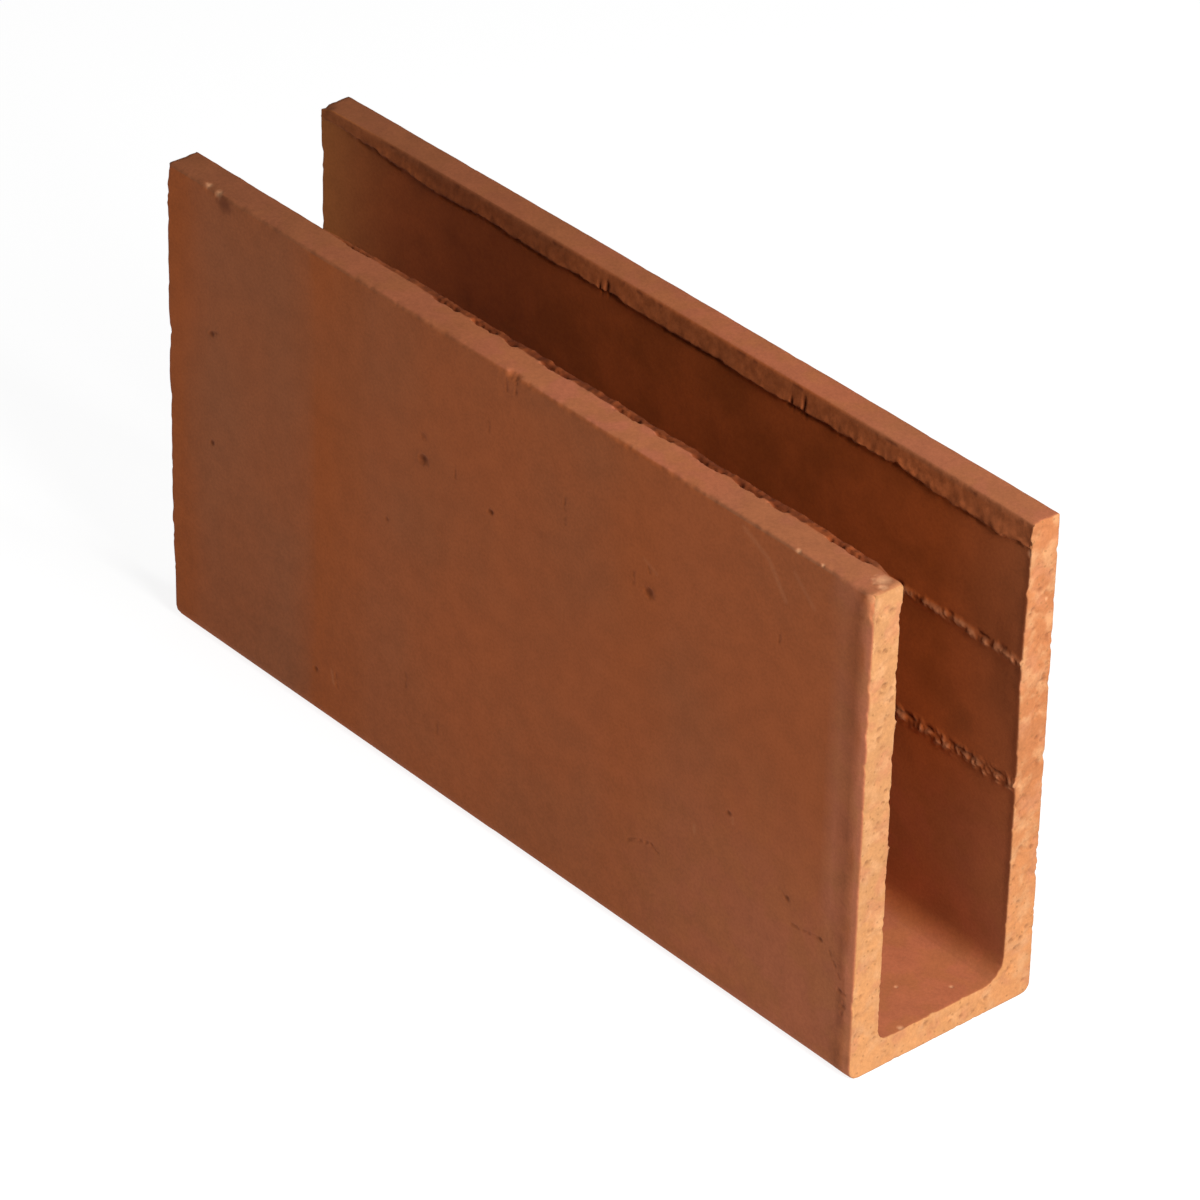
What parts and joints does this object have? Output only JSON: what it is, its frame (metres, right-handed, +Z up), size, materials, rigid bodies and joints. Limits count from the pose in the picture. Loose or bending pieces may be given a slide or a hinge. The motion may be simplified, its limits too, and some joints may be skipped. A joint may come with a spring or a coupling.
{
  "type": "clay u-channel block",
  "caption": "Long fired clay block with a deep U section, open along its top and at both ends, laid as permanent formwork for a reinforced lintel or bond beam.",
  "frame": {"origin": "centre of the bed face, on the surface that the block stands on", "axes": "+X along the block towards the near cut end, +Y across it from the front leg to the back leg, +Z up out of the open channel"},
  "size_m": [0.39, 0.088, 0.2],
  "materials": {
    "fired_clay": "matte unglazed brick clay"
  },
  "bodies": {
    "root": {"u_channel_block": "fired_clay"}
  },
  "joints": []
}
